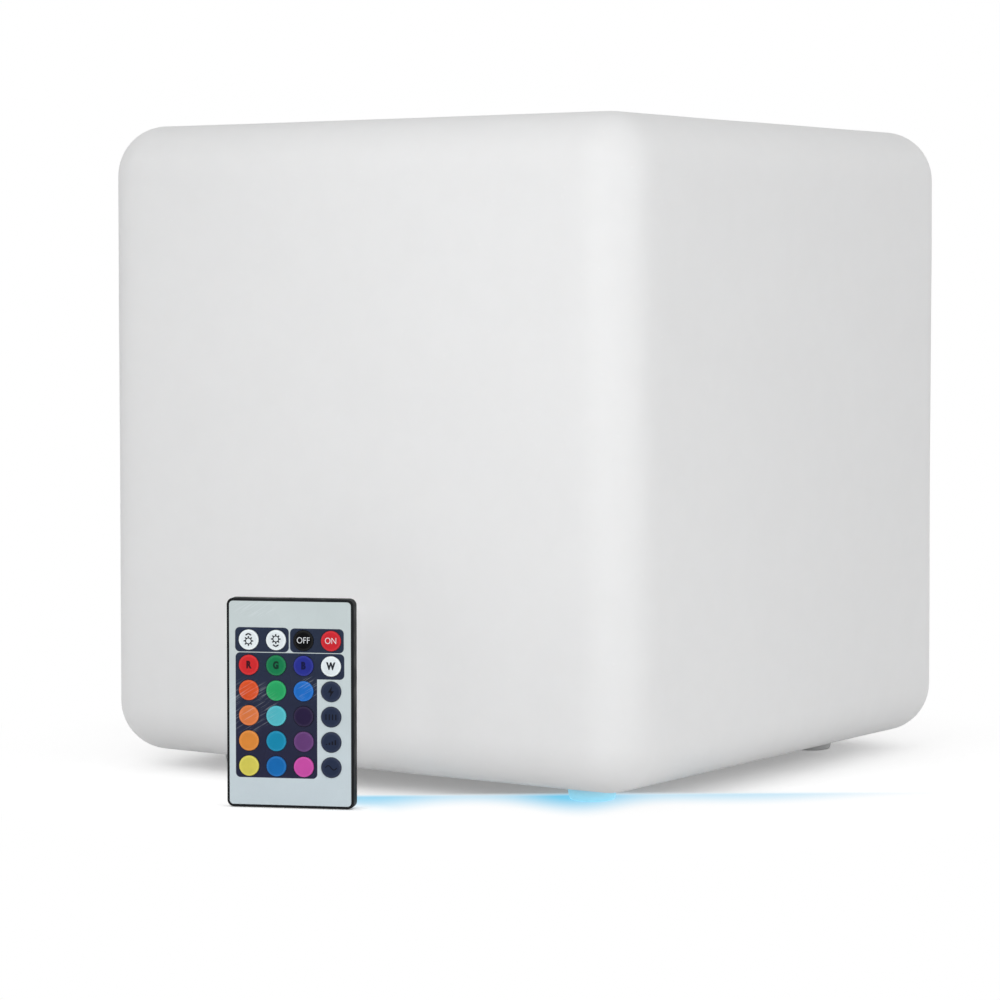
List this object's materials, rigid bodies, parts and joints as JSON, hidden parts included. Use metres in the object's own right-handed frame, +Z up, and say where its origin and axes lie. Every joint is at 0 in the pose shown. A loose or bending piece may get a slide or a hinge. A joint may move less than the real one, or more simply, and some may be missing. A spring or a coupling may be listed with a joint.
{
  "type": "led cube light",
  "caption": "Rounded milky cube light on low rubber feet, lit from inside through its skin, with a slim keyed remote handset that stands by itself in front of it.",
  "frame": {"origin": "on the floor under the cube's centre, at the plane the feet stand on", "axes": "+Z up; -Y towards the cube's wide side in the picture, where the handset stands; +X to the right of that side"},
  "size_m": [0.28, 0.3356, 0.2875],
  "materials": {
    "milky_plastic": "milky rotomoulded skin, softly mottled",
    "diffuser_plastic": "thin milky plastic",
    "base_plastic": "fine grained white plastic",
    "black_plastic": "satin black plastic",
    "face_sheet": "glossy printed sheet, pale grey-blue with navy panels",
    "foot_rubber": "translucent pale rubber",
    "black_rubber": "matt black rubber",
    "brass": "turned brass",
    "steel": "zinc plated steel",
    "board_white": "white lacquered aluminium board",
    "board_green": "green lacquered board",
    "chip_black": "moulded black chip",
    "led_chip": "white housing with yellow resin",
    "cell_wrap": "blue shrink wrap",
    "ir_resin": "dark violet resin",
    "ir_clear": "clear bluish resin",
    "light_clear": "clear light pipe",
    "lead_red": "soft insulated lead",
    "key_brighter": "smooth coloured key",
    "key_dimmer": "smooth coloured key",
    "key_off": "smooth coloured key",
    "key_on": "smooth coloured key",
    "key_red": "smooth coloured key",
    "key_green": "smooth coloured key",
    "key_blue": "smooth coloured key",
    "key_white": "smooth coloured key",
    "key_orange_red": "smooth coloured key",
    "key_light_green": "smooth coloured key",
    "key_azure": "smooth coloured key",
    "key_flash": "smooth coloured key",
    "key_orange": "smooth coloured key",
    "key_cyan": "smooth coloured key",
    "key_dark_purple": "smooth coloured key",
    "key_strobe": "smooth coloured key",
    "key_amber": "smooth coloured key",
    "key_teal": "smooth coloured key",
    "key_purple": "smooth coloured key",
    "key_fade": "smooth coloured key",
    "key_yellow": "smooth coloured key",
    "key_sky_blue": "smooth coloured key",
    "key_pink": "smooth coloured key",
    "key_smooth": "smooth coloured key"
  },
  "bodies": {
    "lamp": {"shell": "milky_plastic", "shell_underside": "milky_plastic", "rubber_feet": "foot_rubber", "thread_inserts": "brass", "base_seal": "black_rubber", "base_plate": "base_plastic", "base_screws": "steel", "diffuser_dome": "diffuser_plastic", "dome_seal": "black_rubber", "led_board": "board_white", "led_chips": "led_chip", "led_board_screws": "steel", "ir_receiver": "ir_resin", "battery_holder": "black_plastic", "battery_cells": "cell_wrap", "control_board": "board_green", "control_chips": "chip_black", "tact_switch": "steel", "button_seal": "black_rubber", "charge_jack": "black_plastic", "cover_pin": "steel", "charge_light": "light_clear", "battery_leads": "lead_red", "led_leads": "lead_red"},
    "button": {"power_button": "black_rubber"},
    "flap": {"jack_cover": "black_rubber"},
    "handset": {"remote_case": "black_plastic", "remote_front": "black_plastic", "remote_overlay": "face_sheet", "remote_board": "board_green", "remote_domes": "steel", "remote_ir_led": "ir_clear", "remote_chip": "chip_black", "battery_contacts": "steel"},
    "tray": {"battery_tray": "black_plastic", "coin_cell": "steel"},
    "press_brighter": {"key_brighter": "key_brighter"},
    "press_dimmer": {"key_dimmer": "key_dimmer"},
    "press_off": {"key_off": "key_off"},
    "press_on": {"key_on": "key_on"},
    "press_red": {"key_red": "key_red"},
    "press_green": {"key_green": "key_green"},
    "press_blue": {"key_blue": "key_blue"},
    "press_white": {"key_white": "key_white"},
    "press_orange_red": {"key_orange_red": "key_orange_red"},
    "press_light_green": {"key_light_green": "key_light_green"},
    "press_azure": {"key_azure": "key_azure"},
    "press_flash": {"key_flash": "key_flash"},
    "press_orange": {"key_orange": "key_orange"},
    "press_cyan": {"key_cyan": "key_cyan"},
    "press_dark_purple": {"key_dark_purple": "key_dark_purple"},
    "press_strobe": {"key_strobe": "key_strobe"},
    "press_amber": {"key_amber": "key_amber"},
    "press_teal": {"key_teal": "key_teal"},
    "press_purple": {"key_purple": "key_purple"},
    "press_fade": {"key_fade": "key_fade"},
    "press_yellow": {"key_yellow": "key_yellow"},
    "press_sky_blue": {"key_sky_blue": "key_sky_blue"},
    "press_pink": {"key_pink": "key_pink"},
    "press_smooth": {"key_smooth": "key_smooth"}
  },
  "joints": [
    {"name": "power_press", "type": "slide", "parent": "lamp", "child": "button", "axis": [0, 0, 1], "range_m": [0, 0.0006], "stiffness_N_per_m": 600},
    {"name": "flap_swing", "type": "hinge", "parent": "lamp", "child": "flap", "pos_m": [0.018, -0.0146, 0.0094], "axis": [1, 0, 0], "range_deg": [0, 100]},
    {"name": "handset_lift", "type": "slide", "parent": "lamp", "child": "handset", "axis": [0, 0, 1], "range_m": [0, 0.16]},
    {"name": "tray_slide", "type": "slide", "parent": "handset", "child": "tray", "axis": [0, 0, -1], "range_m": [0, 0.0235]},
    {"name": "press_brighter", "type": "slide", "parent": "handset", "child": "press_brighter", "axis": [-0.4115, 0.9114, 0], "range_m": [0, 0.00028], "stiffness_N_per_m": 400},
    {"name": "press_dimmer", "type": "slide", "parent": "handset", "child": "press_dimmer", "axis": [-0.4115, 0.9114, 0], "range_m": [0, 0.00028], "stiffness_N_per_m": 400},
    {"name": "press_off", "type": "slide", "parent": "handset", "child": "press_off", "axis": [-0.4115, 0.9114, 0], "range_m": [0, 0.00028], "stiffness_N_per_m": 400},
    {"name": "press_on", "type": "slide", "parent": "handset", "child": "press_on", "axis": [-0.4115, 0.9114, 0], "range_m": [0, 0.00028], "stiffness_N_per_m": 400},
    {"name": "press_red", "type": "slide", "parent": "handset", "child": "press_red", "axis": [-0.4115, 0.9114, 0], "range_m": [0, 0.00028], "stiffness_N_per_m": 400},
    {"name": "press_green", "type": "slide", "parent": "handset", "child": "press_green", "axis": [-0.4115, 0.9114, 0], "range_m": [0, 0.00028], "stiffness_N_per_m": 400},
    {"name": "press_blue", "type": "slide", "parent": "handset", "child": "press_blue", "axis": [-0.4115, 0.9114, 0], "range_m": [0, 0.00028], "stiffness_N_per_m": 400},
    {"name": "press_white", "type": "slide", "parent": "handset", "child": "press_white", "axis": [-0.4115, 0.9114, 0], "range_m": [0, 0.00028], "stiffness_N_per_m": 400},
    {"name": "press_orange_red", "type": "slide", "parent": "handset", "child": "press_orange_red", "axis": [-0.4115, 0.9114, 0], "range_m": [0, 0.00028], "stiffness_N_per_m": 400},
    {"name": "press_light_green", "type": "slide", "parent": "handset", "child": "press_light_green", "axis": [-0.4115, 0.9114, 0], "range_m": [0, 0.00028], "stiffness_N_per_m": 400},
    {"name": "press_azure", "type": "slide", "parent": "handset", "child": "press_azure", "axis": [-0.4115, 0.9114, 0], "range_m": [0, 0.00028], "stiffness_N_per_m": 400},
    {"name": "press_flash", "type": "slide", "parent": "handset", "child": "press_flash", "axis": [-0.4115, 0.9114, 0], "range_m": [0, 0.00028], "stiffness_N_per_m": 400},
    {"name": "press_orange", "type": "slide", "parent": "handset", "child": "press_orange", "axis": [-0.4115, 0.9114, 0], "range_m": [0, 0.00028], "stiffness_N_per_m": 400},
    {"name": "press_cyan", "type": "slide", "parent": "handset", "child": "press_cyan", "axis": [-0.4115, 0.9114, 0], "range_m": [0, 0.00028], "stiffness_N_per_m": 400},
    {"name": "press_dark_purple", "type": "slide", "parent": "handset", "child": "press_dark_purple", "axis": [-0.4115, 0.9114, 0], "range_m": [0, 0.00028], "stiffness_N_per_m": 400},
    {"name": "press_strobe", "type": "slide", "parent": "handset", "child": "press_strobe", "axis": [-0.4115, 0.9114, 0], "range_m": [0, 0.00028], "stiffness_N_per_m": 400},
    {"name": "press_amber", "type": "slide", "parent": "handset", "child": "press_amber", "axis": [-0.4115, 0.9114, 0], "range_m": [0, 0.00028], "stiffness_N_per_m": 400},
    {"name": "press_teal", "type": "slide", "parent": "handset", "child": "press_teal", "axis": [-0.4115, 0.9114, 0], "range_m": [0, 0.00028], "stiffness_N_per_m": 400},
    {"name": "press_purple", "type": "slide", "parent": "handset", "child": "press_purple", "axis": [-0.4115, 0.9114, 0], "range_m": [0, 0.00028], "stiffness_N_per_m": 400},
    {"name": "press_fade", "type": "slide", "parent": "handset", "child": "press_fade", "axis": [-0.4115, 0.9114, 0], "range_m": [0, 0.00028], "stiffness_N_per_m": 400},
    {"name": "press_yellow", "type": "slide", "parent": "handset", "child": "press_yellow", "axis": [-0.4115, 0.9114, 0], "range_m": [0, 0.00028], "stiffness_N_per_m": 400},
    {"name": "press_sky_blue", "type": "slide", "parent": "handset", "child": "press_sky_blue", "axis": [-0.4115, 0.9114, 0], "range_m": [0, 0.00028], "stiffness_N_per_m": 400},
    {"name": "press_pink", "type": "slide", "parent": "handset", "child": "press_pink", "axis": [-0.4115, 0.9114, 0], "range_m": [0, 0.00028], "stiffness_N_per_m": 400},
    {"name": "press_smooth", "type": "slide", "parent": "handset", "child": "press_smooth", "axis": [-0.4115, 0.9114, 0], "range_m": [0, 0.00028], "stiffness_N_per_m": 400}
  ]
}
